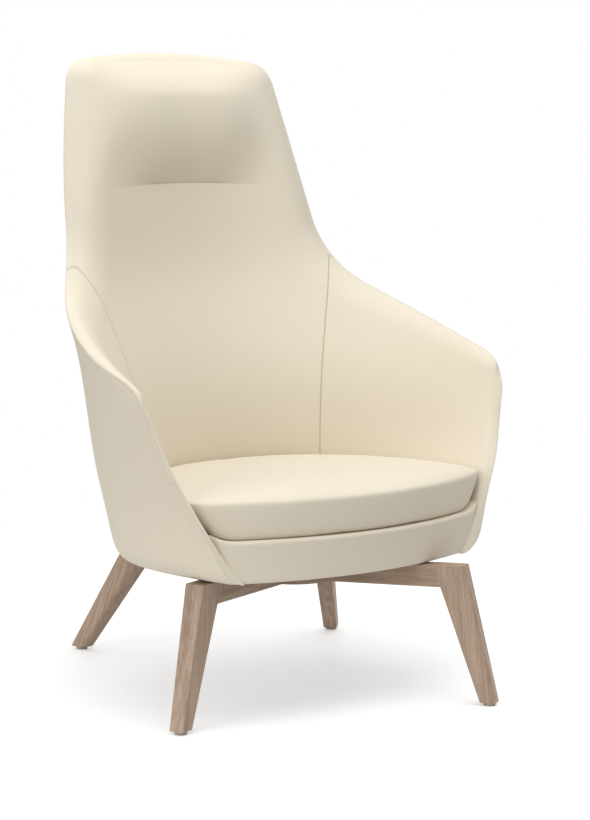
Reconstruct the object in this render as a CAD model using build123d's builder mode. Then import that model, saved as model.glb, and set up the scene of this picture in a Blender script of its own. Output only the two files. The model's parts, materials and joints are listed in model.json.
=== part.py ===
"""High back armchair: a padded tub with a tall back that turns on a four-legged wooden base.

Millimetres, +Z up. The chair faces -Y. Everything is drawn about the swivel axis and
moved by frame_shift when it is written, so that the origin lies on the floor under the
middle of the chair.
"""
import os
from collections import namedtuple
from math import acos, atan2, cos, degrees, hypot, radians, sin

from build123d import *

os.makedirs("parts", exist_ok=True)

# Overall place: the swivel axis stands in front of the middle of the footprint
frame_shift = (0, -128, 0)

# Heights of the tub
tub_bottom = 260
seat_line = 337
cushion_line = 420
arm_top = 569
arm_rise = 665
wing_root = 762
wing_line = 860
head_line = 950
crest_line = 1075
crown_top = 1186
tub_end = crown_top + 14

# Inner face of the back at the lower edge of the headrest
head_back = 351

# One horizontal outline of the tub: rear point, half width and where it is reached,
# turn of the rear arc, front side radius, front corner radius, front radius, front point
Level = namedtuple("Level", "height rear half_width side_y turn side_r corner_r front_r front")

outer_levels = [
    Level(tub_bottom, 326, 302, 30, 45, 640, 30, 2000, -420),
    Level(seat_line, 332, 345, 10, 45, 800, 30, 2000, -420),
    Level(cushion_line, 340, 374, -10, 45, 1000, 30, 2000, -420),
    Level(arm_top, 358, 416, -60, 45, 2000, 30, 2000, -420),
    Level(arm_rise, 366, 431, -45, 44, 2000, 30, 2000, -420),
    Level(wing_root, 383, 445, 0, 40, 2000, 30, 2000, -420),
    Level(wing_line, 398, 444, 48, 32, 2000, 30, 2000, -420),
    Level(head_line, 409, 430, 90, 25, 2000, 30, 2000, -420),
    Level(crest_line, 422, 413, 142, 20.5, 2000, 30, 2000, -420),
    Level(tub_end, 438, 400, 190, 20, 2000, 30, 2000, -420),
]
inner_levels = [
    Level(tub_bottom, 276, 264, -30, 45, 640, 30, 2000, -400),
    Level(seat_line, 268, 305, -60, 45, 1500, 30, 2000, -400),
    Level(cushion_line, 256, 343, -100, 45, 3000, 30, 2000, -400),
    Level(arm_top, 268, 399, -170, 45, 2000, 30, 2000, -400),
    Level(arm_rise, 298, 412, -103, 44, 2000, 30, 2000, -400),
    Level(wing_root, 328, 408, 0, 40, 2000, 30, 2000, -400),
    Level(wing_line, 342, 396, 60, 32, 2000, 30, 2000, -400),
    Level(head_line, head_back, 382, 90, 25, 2000, 30, 2000, -400),
    Level(crest_line, 373, 369, 136, 20.5, 2000, 30, 2000, -400),
    Level(tub_end, 404, 362, 190, 20, 2000, 30, 2000, -400),
]

# Rim of the tub, drawn in a view from the front left: across that view, and height
rim_view_angle = 40
rim_front_low = 355
rim_front_mid = 374
rim_arm_corner = (391, 600)
rim_wing_root = (44, 775)
rim_top_corner = (-74, crown_top - 20)
rim_crown = (-205, crown_top)
keel_r = 1
front_bend_r = 100
arm_corner_r = 42
wing_root_r = 225
top_corner_r = 58
crown_bend_r = 960
reach = 900

# Front edge of the arms in the side view
arm_front_low = -182
arm_front_high = -109

# Upright planes of the seams between the back and the arms
back_seam_point = (198, 178)
back_seam_angle = 40.1

# Curved plywood inside the pads
frame_depth = 7
frame_wall = 8
frame_drop = 34

# Front panel between the arms, with a wooden rail in it
panel_low_half = 264
panel_high_half = 303
panel_low_front = -210
panel_high_front = -242
panel_low_end = -178
panel_high_end = -167.5
panel_back = -140
panel_sink = 8
rail_length = 400
rail_thick = 22
rail_low = 264
rail_high = 330

# Seat deck, dust cover and the block under the deck
deck_top = 336
deck_thick = 18
deck_fit = 0.4
cover_thick = 2.5
cover_hole_r = 152
block_side = 236
block_hole_r = 36

# Seat cushion: drawn in at the bottom and towards the crown
cushion_bottom = 337.5
cushion_low = Level(cushion_bottom, 262, 303, -60, 45, 1500, 40, 605, -247)
cushion_high = Level(cushion_line, 250, 341, -60, 45, 3000, 40, 605, -247)
cushion_rows = [(337.5, 8), (345, 3), (360, 1.5), (382, 1.5), (397, 5), (407, 14), (414, 32), (418, 56)]

# Headrest: height, half width, bulge, and how far the back recedes and bows at each row
HeadRow = namedtuple("HeadRow", "height half bulge recede bow")
head_rows = [
    HeadRow(938, 214, 3, -1, 38),
    HeadRow(952, 214, 16, 0, 38),
    HeadRow(985, 212, 27, 5, 36),
    HeadRow(1050, 206, 30, 17, 31),
    HeadRow(1110, 199, 24, 30, 28),
    HeadRow(1160, 192, 7, 43, 25),
]
head_sink = 20

# Swivel: pin, thrust ring, turning plate and its bolts
pin_r = 12
pin_bottom = 226
pin_top = 287
plate_run = 0.05
ring_gap = 0.1
ring_outer_r = 80
ring_inner_r = 50
ring_high = 12
plate_thick = 5
plate_corner_r = 12
collar_r = 24
collar_high = 8
bolt_r = 4
bolt_head_r = 6.5
bolt_head_high = 5.3
bolt_spread = 190
nut_r = 5.5
nut_flange_r = 10
nut_flange = 1.5
bolt_tip = 332

# Wooden base: hub, four beams and four legs, turned about the swivel axis
base_turn = -16.9
front_spread = 37.2
rear_spread = 61.4
base_top = 256
beam_bottom = 216
beam_thick = 34
hub_r = 70
hub_plate_r = 124
hub_plate_thick = 5
hub_screw_r = 2.5
hub_screw_head_r = 5
hub_screw_length = 30
hub_screw_places = (92, 113)
leg_top_thick = 38
leg_foot_thick = 27
leg_outer_r = 11
leg_inner_r = 3
front_foot = (356, 386)
front_head = (268, 326)
rear_foot = (547, 581)
rear_head = (342, 406)
dowel_r = 4
dowel_length = 56
dowel_heights = (227, 245)
glide_r = 11
glide_high = 6
glide_pin_r = 2.5
glide_pin_length = 22


def rear_radii(level):
    """Radii of the rear arc and of the side arc that together turn a quarter."""
    turn = radians(level.turn)
    depth = level.rear - level.side_y
    share = 1 - sin(turn) - cos(turn)
    rear_r = (depth * (1 - sin(turn)) - level.half_width * cos(turn)) / share
    side_r = (level.half_width * (1 - cos(turn)) - depth * sin(turn)) / share
    return rear_r, side_r


def front_corner(level):
    """Centre of the corner arc that touches the side arc and the front arc."""
    side = (level.half_width - level.side_r, level.side_y)
    front = (0, level.front + level.front_r)
    from_side = level.side_r - level.corner_r
    from_front = level.front_r - level.corner_r
    apart = hypot(front[0] - side[0], front[1] - side[1])
    heading = atan2(front[1] - side[1], front[0] - side[0])
    opening = acos((from_side**2 + apart**2 - from_front**2) / (2 * from_side * apart))
    options = []
    for sign in (-1, 1):
        angle = heading + sign * opening
        options.append((side[0] + from_side * cos(angle), side[1] + from_side * sin(angle)))
    return min(options, key=lambda point: point[1])


def outline(level, grow=0):
    """Face of one level, with its outline grown outwards by the given amount."""
    rear_r, side_r = rear_radii(level)
    corner = front_corner(level)
    front_y = level.front + level.front_r
    side_x = level.half_width - level.side_r
    side_end = degrees(atan2(corner[1] - level.side_y, corner[0] - side_x))
    front_end = degrees(atan2(corner[1] - front_y, corner[0]))
    arcs = [
        ((level.half_width - side_r, level.side_y), side_r, 0, 90 - level.turn),
        ((side_x, level.side_y), level.side_r, side_end, -side_end),
        (corner, level.corner_r, front_end, side_end - front_end),
    ]
    with BuildSketch(Plane.XY.offset(level.height)) as face:
        with BuildLine():
            CenterArc((0, level.rear - rear_r), rear_r + grow, 90 - level.turn, 2 * level.turn)
            for centre, radius, start, size in arcs:
                CenterArc(centre, radius + grow, start, size)
                CenterArc((-centre[0], centre[1]), radius + grow, 180 - start, -size)
            CenterArc((0, front_y), level.front_r + grow, -180 - front_end, 180 + 2 * front_end)
        make_face()
    return face.sketch


def tub_loft(levels, grow=0, mode=Mode.ADD):
    """Add, cut or keep the solid inside the given levels."""
    loft([outline(level, grow) for level in levels], mode=mode)


def rim_trim(side, drop=0):
    """Keep what lies inside the rim line on one side (1 right, -1 left)."""
    view = Plane(
        origin=(0, 0, 0),
        x_dir=(side * cos(radians(rim_view_angle)), -sin(radians(rim_view_angle)), 0),
        z_dir=(-side * sin(radians(rim_view_angle)), -cos(radians(rim_view_angle)), 0),
    )
    if side < 0:
        view = Plane(origin=view.origin, x_dir=view.x_dir, z_dir=-view.z_dir)
    with BuildSketch(view) as kept:
        with BuildLine():
            FilletPolyline(
                (-reach, tub_bottom - reach),
                (rim_front_low - drop, tub_bottom - reach),
                (rim_front_low - drop, seat_line),
                (rim_front_mid - drop, cushion_line),
                (rim_arm_corner[0] - drop, rim_arm_corner[1] - drop),
                (rim_wing_root[0] - drop, rim_wing_root[1] - drop),
                (rim_top_corner[0] - drop, rim_top_corner[1] - drop),
                (rim_crown[0] - drop, rim_crown[1] - drop),
                (-reach, rim_crown[1] - drop),
                radius=[keel_r, front_bend_r, front_bend_r, arm_corner_r, wing_root_r, top_corner_r, crown_bend_r],
            )
            Line((-reach, rim_crown[1] - drop), (-reach, tub_bottom - reach))
        make_face()
    extrude(kept.sketch, amount=reach, both=True, mode=Mode.INTERSECT)


def save(part, name):
    """Name a finished piece, move it into the chair's frame and write it."""
    part.label = name
    moved = part.moved(Location(frame_shift))
    moved.label = name
    export_step(moved, f"parts/{name}.step")


def seam_plane(side):
    """Upright plane between back and arm, with its normal towards the back."""
    turn = radians(back_seam_angle)
    point = (side * back_seam_point[0], back_seam_point[1], 0)
    return Plane(origin=point, x_dir=(0, 0, 1), z_dir=(-side * sin(turn), cos(turn), 0))


def front_trim(back=0):
    """Cut away what lies in front of the arms' front edges, or that far behind them."""
    with BuildSketch(Plane.YZ) as cut:
        with BuildLine():
            Polyline(
                (-reach, tub_bottom),
                (arm_front_low + back, tub_bottom),
                (arm_front_high + back, arm_top),
                (arm_front_high + back, tub_end + reach),
                (-reach, tub_end + reach),
                close=True,
            )
        make_face()
    extrude(cut.sketch, amount=reach, both=True, mode=Mode.SUBTRACT)


# Whole padded wall of the tub, from which the back and the arms are taken
with BuildPart() as wall:
    tub_loft(outer_levels)
    front_trim()
    rim_trim(1)
    rim_trim(-1)
    tub_loft(inner_levels, mode=Mode.SUBTRACT)

# Whole curved plywood frame inside that wall
with BuildPart() as frame:
    tub_loft(outer_levels, grow=-frame_depth)
    front_trim(back=frame_drop)
    rim_trim(1, drop=frame_drop)
    rim_trim(-1, drop=frame_drop)
    tub_loft(outer_levels, grow=-frame_depth - frame_wall, mode=Mode.SUBTRACT)

sides = {"right": 1, "left": -1}

with BuildPart() as back_frame:
    add(frame.part)
    for side in sides.values():
        split(bisect_by=seam_plane(side), keep=Keep.TOP)
save(back_frame.part, "back_frame")

with BuildPart() as back_pad:
    add(wall.part)
    for side in sides.values():
        split(bisect_by=seam_plane(side), keep=Keep.TOP)
    add(back_frame.part, mode=Mode.SUBTRACT)
save(back_pad.part, "back_pad")

for name, side in sides.items():
    with BuildPart() as arm_frame:
        add(frame.part)
        split(bisect_by=seam_plane(side), keep=Keep.BOTTOM)
    save(arm_frame.part, f"arm_frame_{name}")

    with BuildPart() as arm_pad:
        add(wall.part)
        split(bisect_by=seam_plane(side), keep=Keep.BOTTOM)
        add(arm_frame.part, mode=Mode.SUBTRACT)
    save(arm_pad.part, f"arm_pad_{name}")


def panel_face(height, half, front, end):
    """Outline of the front panel at one height: a bowed front, and ends let into the arms."""
    with BuildSketch(Plane.XY.offset(height)) as face:
        with BuildLine():
            ThreePointArc((-half, end), (0, front), (half, end))
            Polyline((half, end), (half + panel_sink, panel_back), (-half - panel_sink, panel_back), (-half, end))
        make_face()
    return face.sketch


with BuildPart() as front_rail:
    with BuildSketch(Plane.XY.offset(rail_low)):
        with Locations((0, panel_back - rail_thick / 2)):
            Rectangle(rail_length, rail_thick)
    extrude(amount=rail_high - rail_low)
save(front_rail.part, "front_rail")

with BuildPart() as front_panel:
    loft(
        [
            panel_face(tub_bottom, panel_low_half, panel_low_front, panel_low_end),
            panel_face(deck_top, panel_high_half, panel_high_front, panel_high_end),
        ]
    )
    add(wall.part, mode=Mode.SUBTRACT)
    add(front_rail.part, mode=Mode.SUBTRACT)
save(front_panel.part, "front_panel")

# Headrest: a soft roll that stands out of the upper back
with BuildPart() as headrest_pad:
    head_faces = []
    for row in head_rows:
        half = row.half
        back_y = head_back + row.recede
        end_y = back_y - row.bow
        with BuildSketch(Plane.XY.offset(row.height)) as head_face:
            with BuildLine():
                ThreePointArc((-half, end_y), (0, back_y - row.bulge), (half, end_y))
                Line((half, end_y), (half, end_y + head_sink))
                ThreePointArc((half, end_y + head_sink), (0, back_y + head_sink), (-half, end_y + head_sink))
                Line((-half, end_y + head_sink), (-half, end_y))
            make_face()
        head_faces.append(head_face.sketch)
    loft(head_faces)
    add(wall.part, mode=Mode.SUBTRACT)
save(headrest_pad.part, "headrest_pad")


def cushion_face(height, inset):
    """Outline of the seat cushion at one height, drawn in by the inset."""
    share = (height - cushion_low.height) / (cushion_high.height - cushion_low.height)
    sizes = [low + share * (high - low) for low, high in zip(cushion_low, cushion_high)]
    level = Level(*sizes)
    return outline(level._replace(height=height, corner_r=level.corner_r + inset), -inset)


with BuildPart() as seat_cushion:
    loft([cushion_face(height, inset) for height, inset in cushion_rows])
    add(wall.part, mode=Mode.SUBTRACT)
save(seat_cushion.part, "seat_cushion")

# Seat deck with the tee nuts let into it
bolt_places = GridLocations(bolt_spread, bolt_spread, 2, 2)
deck_bottom = deck_top - deck_thick

with BuildPart() as seat_deck:
    tub_loft(inner_levels, grow=-deck_fit)
    with BuildSketch(Plane.XY.offset(deck_bottom)):
        with Locations((0, panel_back + reach / 2 + deck_fit)):
            Rectangle(reach, reach)
    extrude(amount=deck_thick, mode=Mode.INTERSECT)
    with BuildSketch(Plane.XY.offset(deck_bottom)):
        with bolt_places:
            Circle(nut_r)
    extrude(amount=deck_thick, mode=Mode.SUBTRACT)
    with BuildSketch(Plane.XY.offset(deck_top - nut_flange)):
        with bolt_places:
            Circle(nut_flange_r)
    extrude(amount=nut_flange, mode=Mode.SUBTRACT)
save(seat_deck.part, "seat_deck")

with BuildPart() as tee_nuts:
    with BuildSketch(Plane.XY.offset(deck_bottom)):
        with bolt_places:
            Circle(nut_r)
            Circle(bolt_r, mode=Mode.SUBTRACT)
    extrude(amount=deck_thick - nut_flange)
    with BuildSketch(Plane.XY.offset(deck_top - nut_flange)):
        with bolt_places:
            Circle(nut_flange_r)
            Circle(bolt_r, mode=Mode.SUBTRACT)
    extrude(amount=nut_flange)
save(tee_nuts.part, "tee_nuts")

with BuildPart() as bottom_cover:
    tub_loft(inner_levels, grow=-deck_fit)
    with BuildSketch(Plane.XY.offset(tub_bottom)):
        with Locations((0, panel_back + reach / 2 + deck_fit)):
            Rectangle(reach, reach)
        Circle(cover_hole_r, mode=Mode.SUBTRACT)
    extrude(amount=cover_thick, mode=Mode.INTERSECT)
save(bottom_cover.part, "bottom_cover")

# Swivel: the thrust ring carries the turning plate, the collar keeps it on the pin
ring_bottom = base_top + hub_plate_thick
plate_bottom = ring_bottom + ring_high + ring_gap
plate_top = plate_bottom + plate_thick

with BuildPart() as pivot_pin:
    with BuildSketch(Plane.XY.offset(pin_bottom)):
        Circle(pin_r)
    extrude(amount=pin_top - pin_bottom)
save(pivot_pin.part, "pivot_pin")

with BuildPart() as thrust_ring:
    with BuildSketch(Plane.XY.offset(ring_bottom)):
        Circle(ring_outer_r)
        Circle(ring_inner_r, mode=Mode.SUBTRACT)
    extrude(amount=ring_high)
save(thrust_ring.part, "thrust_ring")

with BuildPart() as pivot_collar:
    with BuildSketch(Plane.XY.offset(plate_top + ring_gap)):
        Circle(collar_r)
        Circle(pin_r, mode=Mode.SUBTRACT)
    extrude(amount=collar_high)
save(pivot_collar.part, "pivot_collar")

with BuildPart() as swivel_plate:
    with BuildSketch(Plane.XY.offset(plate_bottom)):
        RectangleRounded(block_side, block_side, plate_corner_r)
        Circle(pin_r + plate_run, mode=Mode.SUBTRACT)
        with bolt_places:
            Circle(bolt_r, mode=Mode.SUBTRACT)
    extrude(amount=plate_thick)
save(swivel_plate.part, "swivel_plate")

with BuildPart() as swivel_block:
    with BuildSketch(Plane.XY.offset(plate_top)):
        RectangleRounded(block_side, block_side, plate_corner_r)
        Circle(block_hole_r, mode=Mode.SUBTRACT)
        with bolt_places:
            Circle(bolt_r, mode=Mode.SUBTRACT)
    extrude(amount=deck_bottom - plate_top)
save(swivel_block.part, "swivel_block")

with BuildPart() as swivel_bolts:
    with BuildSketch(Plane.XY.offset(plate_bottom - bolt_head_high)):
        with bolt_places:
            RegularPolygon(bolt_head_r, 6)
    extrude(amount=bolt_head_high)
    with BuildSketch(Plane.XY.offset(plate_bottom)):
        with bolt_places:
            Circle(bolt_r)
    extrude(amount=bolt_tip - plate_bottom)
save(swivel_bolts.part, "swivel_bolts")

# Wooden base
legs = {
    "front_left": (180 + front_spread, front_foot, front_head),
    "front_right": (-front_spread, front_foot, front_head),
    "rear_left": (180 - rear_spread, rear_foot, rear_head),
    "rear_right": (rear_spread, rear_foot, rear_head),
}


def radial_plane(angle, height):
    """Level plane whose X axis points outwards along a leg."""
    turn = radians(angle + base_turn)
    return Plane(origin=(0, 0, height), x_dir=(cos(turn), sin(turn), 0), z_dir=(0, 0, 1))


def upright_plane(angle, out, height):
    """Upright plane across a leg, with its normal pointing outwards."""
    turn = radians(angle + base_turn)
    return Plane(
        origin=(out * cos(turn), out * sin(turn), height),
        x_dir=(-sin(turn), cos(turn), 0),
        z_dir=(cos(turn), sin(turn), 0),
    )


def leg_face(angle, height, span, thick):
    """Section of a leg: flat inside, round outside."""
    with BuildSketch(radial_plane(angle, height)) as face:
        with Locations(((span[0] + span[1]) / 2, 0)):
            Rectangle(span[1] - span[0], thick)
        corners = face.vertices().group_by(Axis((0, 0, 0), radial_plane(angle, height).x_dir))
        fillet(corners[-1], leg_outer_r)
        fillet(corners[0], leg_inner_r)
    return face.sketch


def inner_edge(foot, head, height):
    """Distance of a leg's inner edge from the swivel axis at one height."""
    share = (height - glide_high) / (base_top - glide_high)
    return foot[0] + share * (head[0] - foot[0])


with BuildPart() as hub_solid:
    with BuildSketch(Plane.XY.offset(beam_bottom)):
        Circle(hub_r)
    extrude(amount=base_top - beam_bottom)

with BuildPart() as hub:
    add(hub_solid.part)
    add(pivot_pin.part, mode=Mode.SUBTRACT)
save(hub.part, "hub")

with BuildPart() as dowels:
    for angle, foot, head in legs.values():
        for height in dowel_heights:
            middle = inner_edge(foot, head, height)
            with BuildSketch(upright_plane(angle, middle - dowel_length / 2, height)):
                Circle(dowel_r)
            extrude(amount=dowel_length)
save(dowels.part, "leg_dowels")

with BuildPart() as hub_screws:
    for angle, foot, head in legs.values():
        for place in hub_screw_places:
            with BuildSketch(radial_plane(angle, ring_bottom - hub_plate_thick)):
                with Locations((place, 0)):
                    Circle(hub_screw_head_r)
            extrude(amount=hub_plate_thick)
            with BuildSketch(radial_plane(angle, base_top - hub_screw_length)):
                with Locations((place, 0)):
                    Circle(hub_screw_r)
            extrude(amount=hub_screw_length)
save(hub_screws.part, "hub_screws")

with BuildPart() as hub_plate:
    with BuildSketch(Plane.XY.offset(base_top)):
        Circle(hub_plate_r)
    extrude(amount=hub_plate_thick)
    add(pivot_pin.part, mode=Mode.SUBTRACT)
    add(hub_screws.part, mode=Mode.SUBTRACT)
save(hub_plate.part, "hub_plate")

with BuildPart() as glide_pins:
    for angle, foot, head in legs.values():
        with BuildSketch(radial_plane(angle, glide_high)):
            with Locations(((foot[0] + foot[1]) / 2, 0)):
                Circle(glide_pin_r)
        extrude(amount=glide_pin_length)
save(glide_pins.part, "glide_pins")

for name, (angle, foot, head) in legs.items():
    with BuildPart() as leg:
        loft(
            [
                leg_face(angle, glide_high, foot, leg_foot_thick),
                leg_face(angle, base_top, head, leg_top_thick),
            ],
            ruled=True,
        )
        add(dowels.part, mode=Mode.SUBTRACT)
        add(glide_pins.part, mode=Mode.SUBTRACT)
    save(leg.part, f"leg_{name}")

    with BuildPart() as beam:
        with BuildSketch(upright_plane(angle, 0, 0)):
            with Locations((0, (base_top + beam_bottom) / 2)):
                Rectangle(beam_thick, base_top - beam_bottom)
        extrude(amount=inner_edge(foot, head, beam_bottom))
        add(hub_solid.part, mode=Mode.SUBTRACT)
        add(leg.part, mode=Mode.SUBTRACT)
        add(dowels.part, mode=Mode.SUBTRACT)
        add(hub_screws.part, mode=Mode.SUBTRACT)
    save(beam.part, f"beam_{name}")

    with BuildPart() as glide:
        with BuildSketch(radial_plane(angle, 0)):
            with Locations(((foot[0] + foot[1]) / 2, 0)):
                Circle(glide_r)
        extrude(amount=glide_high)
    save(glide.part, f"glide_{name}")
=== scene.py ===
# %% [markdown]
# # A high back armchair
#
# This lesson dresses the packed model of a padded armchair. The wooden base keeps its solids and
# gets a wood finish. The upholstery is built anew, because cloth over foam has rounded rims, seams
# that sink in and a soft crown, which plain solids lack.

# %% Load the packed model
import json
import math

import bmesh
import bpy
import numpy as np
from mathutils import Matrix, Vector


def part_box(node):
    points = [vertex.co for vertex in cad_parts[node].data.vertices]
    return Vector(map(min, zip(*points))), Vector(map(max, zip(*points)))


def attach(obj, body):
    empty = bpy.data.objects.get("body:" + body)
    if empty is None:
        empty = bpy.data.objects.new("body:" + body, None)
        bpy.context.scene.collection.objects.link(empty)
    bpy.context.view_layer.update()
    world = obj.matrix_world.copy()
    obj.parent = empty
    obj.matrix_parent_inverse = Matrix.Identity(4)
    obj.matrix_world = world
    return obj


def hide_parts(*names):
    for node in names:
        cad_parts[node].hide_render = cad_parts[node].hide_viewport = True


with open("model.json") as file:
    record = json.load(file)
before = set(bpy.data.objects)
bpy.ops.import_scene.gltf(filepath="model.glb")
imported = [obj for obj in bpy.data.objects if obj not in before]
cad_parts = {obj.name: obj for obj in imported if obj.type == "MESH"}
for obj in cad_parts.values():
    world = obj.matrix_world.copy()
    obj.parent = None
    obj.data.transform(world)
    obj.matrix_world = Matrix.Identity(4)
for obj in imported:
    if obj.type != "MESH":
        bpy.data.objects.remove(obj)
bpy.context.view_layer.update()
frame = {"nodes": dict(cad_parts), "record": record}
nodes = frame["nodes"]

# %% [markdown]
# ## Shader sums as plain expressions
#
# A finish is easier to read when `1 - mask` is written as just that. This small class holds one
# output socket, and each sum or product on it adds a Math node. Every other node comes from `node`.

# %% Sockets that can be calculated with


class Wire:
    """One output of a shader tree. Sums on it add Math nodes."""

    def __init__(self, tree, socket=None):
        self.tree = tree
        self.socket = socket

    def node(self, kind, settings=None, inputs=None, out=0):
        """Add a node: its settings are set first, then the values or links of its sockets."""
        made = self.tree.nodes.new("ShaderNode" + kind)
        for key, value in (settings or {}).items():
            if key == "stops":
                ramp = made.color_ramp.elements
                while len(ramp) < len(value):
                    ramp.new(1.0)
                for stop, (place, colour) in zip(ramp, value):
                    stop.position = place
                    stop.color = colour
            else:
                setattr(made, key, value)
        for key, value in (inputs or {}).items():
            target = made.inputs[key]
            if isinstance(value, Wire):
                self.tree.links.new(value.socket, target)
            else:
                target.default_value = value
        return Wire(self.tree, made.outputs[out])

    def math(self, operation, first, second=0.0):
        return self.node("Math", {"operation": operation}, {0: first, 1: second})

    def __add__(self, other):
        return self.math("ADD", self, other)

    def __radd__(self, other):
        return self.math("ADD", other, self)

    def __sub__(self, other):
        return self.math("SUBTRACT", self, other)

    def __rsub__(self, other):
        return self.math("SUBTRACT", other, self)

    def __mul__(self, other):
        return self.math("MULTIPLY", self, other)

    def __rmul__(self, other):
        return self.math("MULTIPLY", other, self)

    def noise(self, vector, scale, detail=2.0, roughness=0.5):
        """A cloud pattern of the given scale, from 0 to 1."""
        sockets = {"Vector": vector, "Scale": scale, "Detail": detail, "Roughness": roughness}
        return self.node("TexNoise", {}, sockets, "Fac")

    def ramp(self, value, low, high):
        """0 below low, 1 above high, smooth between."""
        settings = {"interpolation_type": "SMOOTHSTEP"}
        return self.node("MapRange", settings, {"Value": value, "From Min": low, "From Max": high})

    def blend(self, factor, first, second):
        """Mix two colours."""
        return self.node("Mix", {"data_type": "RGBA"}, {0: factor, 6: first, 7: second}, 2)


def new_finish(name):
    """A material with an empty tree, and the wire to build it with."""
    material = bpy.data.materials.new(name)
    material.use_nodes = True
    tree = material.node_tree
    tree.nodes.clear()
    return material, Wire(tree)


def put_out(wire, shader):
    """Send a shader to the material's output."""
    end = wire.tree.nodes.new("ShaderNodeOutputMaterial")
    wire.tree.links.new(shader.socket, end.inputs["Surface"])


print("wire methods:", [name for name in vars(Wire) if not name.startswith("_")])

# %% [markdown]
# ## Upholstery cloth
#
# The cover is a smooth felted wool in cream. From a step away no weave shows, only a soft, even
# nap. Fine noise gives the fibres, broader noise a faint unevenness of the dye, and the seams and
# the headrest crease get painted shade: their colour is darkened where shade falls in them.

# %% Cream wool


def cream_wool():
    material, wire = new_finish("cream_wool")
    place = wire.node("TexCoord", {}, {}, "Object")
    crease = wire.node("Attribute", {"attribute_name": "crease"}, {}, "Fac")
    fibre = wire.noise(place, 950.0, 3.0, 0.65)
    nap = wire.noise(place, 260.0, 3.0, 0.6)
    cloud = wire.noise(place, 5.0, 2.0)
    light = (0.80, 0.725, 0.60, 1)
    deep = (0.735, 0.652, 0.522, 1)
    tone = wire.blend(0.55 * fibre + 0.3 * nap + 0.15 * cloud, deep, light)
    # painted shade: the crease attribute darkens the colour along seams and the headrest crease
    painted_shade_colour = wire.blend(0.4 * crease, tone, (0.30, 0.235, 0.155, 1))
    bump = wire.node(
        "Bump", {}, {"Strength": 0.35, "Distance": 0.0006, "Height": 0.7 * fibre + 0.5 * nap}
    )
    shader = wire.node(
        "BsdfPrincipled",
        {},
        {
            "Base Color": painted_shade_colour,
            "Roughness": 0.78 + 0.16 * nap,
            "Sheen Weight": 0.22,
            "Sheen Roughness": 0.45,
            "Sheen Tint": (1.0, 0.97, 0.9, 1),
            "Specular IOR Level": 0.25,
            "Normal": bump,
        },
    )
    put_out(wire, shader)
    return material


wool = cream_wool()
print("finish:", wool.name, len(wool.node_tree.nodes), "nodes")

# %% [markdown]
# ## Bleached beech
#
# Each leg and beam was sawn along the grain, so the pattern has to follow the piece. The finish
# therefore takes the direction of its piece: distance along it is squeezed, distance across it is
# not, and the same noise becomes long streaks. Beech also has short dark flecks.

# %% Beech that follows a piece


def beech(name, along, start):
    material, wire = new_finish(name)
    place = wire.node("TexCoord", {}, {}, "Object")
    local = wire.node("VectorMath", {"operation": "SUBTRACT"}, {0: place, 1: start})
    lengthwise = Vector(along).normalized()
    sideways = lengthwise.cross(Vector((0.3, 0.2, 1))).normalized()
    inwards = lengthwise.cross(sideways)
    parts = []
    for axis in (lengthwise, sideways, inwards):
        settings = {"operation": "DOT_PRODUCT"}
        parts.append(wire.node("VectorMath", settings, {0: local, 1: axis}, "Value"))
    sway = wire.noise(local, 9.0, 1.0)
    grain_at = wire.node(
        "CombineXYZ", {}, {"X": 0.035 * parts[0], "Y": parts[1] + 0.012 * sway, "Z": parts[2]}
    )
    fleck_at = wire.node("CombineXYZ", {}, {"X": 0.12 * parts[0], "Y": parts[1], "Z": parts[2]})
    streak = wire.noise(grain_at, 240.0, 4.0, 0.6)
    band = wire.noise(grain_at, 60.0, 2.0)
    fleck = wire.ramp(wire.noise(fleck_at, 800.0, 1.0), 0.6, 0.72)
    pale = (0.47, 0.345, 0.255, 1)
    brown = (0.30, 0.205, 0.14, 1)
    tone = wire.blend(wire.ramp(0.6 * streak + 0.4 * band, 0.3, 0.7), pale, brown)
    flecked = wire.blend(0.4 * fleck, tone, (0.17, 0.105, 0.065, 1))
    height = 0.6 * streak - 0.5 * fleck
    bump = wire.node("Bump", {}, {"Strength": 0.25, "Distance": 0.0004, "Height": height})
    shader = wire.node(
        "BsdfPrincipled",
        {},
        {
            "Base Color": flecked,
            "Roughness": 0.45 + 0.15 * streak,
            "Specular IOR Level": 0.4,
            "Normal": bump,
        },
    )
    put_out(wire, shader)
    return material


def dress(node, material):
    """Give a carried-over node its finish."""
    data = nodes[node].data
    data.materials.clear()
    data.materials.append(material)


def middle(node):
    low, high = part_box(node)
    return (low + high) / 2


axis_point = middle("hub")
for place in ("front_left", "front_right", "rear_left", "rear_right"):
    glide = middle("glide_" + place)
    beam = middle("beam_" + place)
    outwards = Vector((beam.x - axis_point.x, beam.y - axis_point.y, 0)).normalized()
    low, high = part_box("leg_" + place)
    head = axis_point + outwards * ((beam - axis_point).length * 2)
    leg_way = Vector((glide.x - head.x, glide.y - head.y, glide.z - high.z))
    dress("leg_" + place, beech("beech_leg_" + place, leg_way, glide))
    dress("beam_" + place, beech("beech_beam_" + place, outwards, beam))
dress("hub", beech("beech_hub", (1, 0, 0), axis_point))
wooden = [name for name in nodes if name.startswith(("leg_front", "leg_rear", "beam"))]
print("beech pieces:", len(wooden) + 1)

# %% [markdown]
# ## Finishes of what is hidden
#
# Plywood, steel and plastic hardly show, but someone may lift the cushion or turn the chair over.

# %% Plain finishes with a little grain


def plain_finish(name, colour, second, scale, roughness, metallic=0.0):
    material, wire = new_finish(name)
    place = wire.node("TexCoord", {}, {}, "Object")
    grain = wire.noise(place, scale, 3.0, 0.6)
    bump = wire.node("Bump", {}, {"Strength": 0.2, "Distance": 0.0003, "Height": grain})
    shader = wire.node(
        "BsdfPrincipled",
        {},
        {
            "Base Color": wire.blend(grain, colour, second),
            "Roughness": roughness + 0.12 * grain,
            "Metallic": metallic,
            "Normal": bump,
        },
    )
    put_out(wire, shader)
    return material


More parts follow.
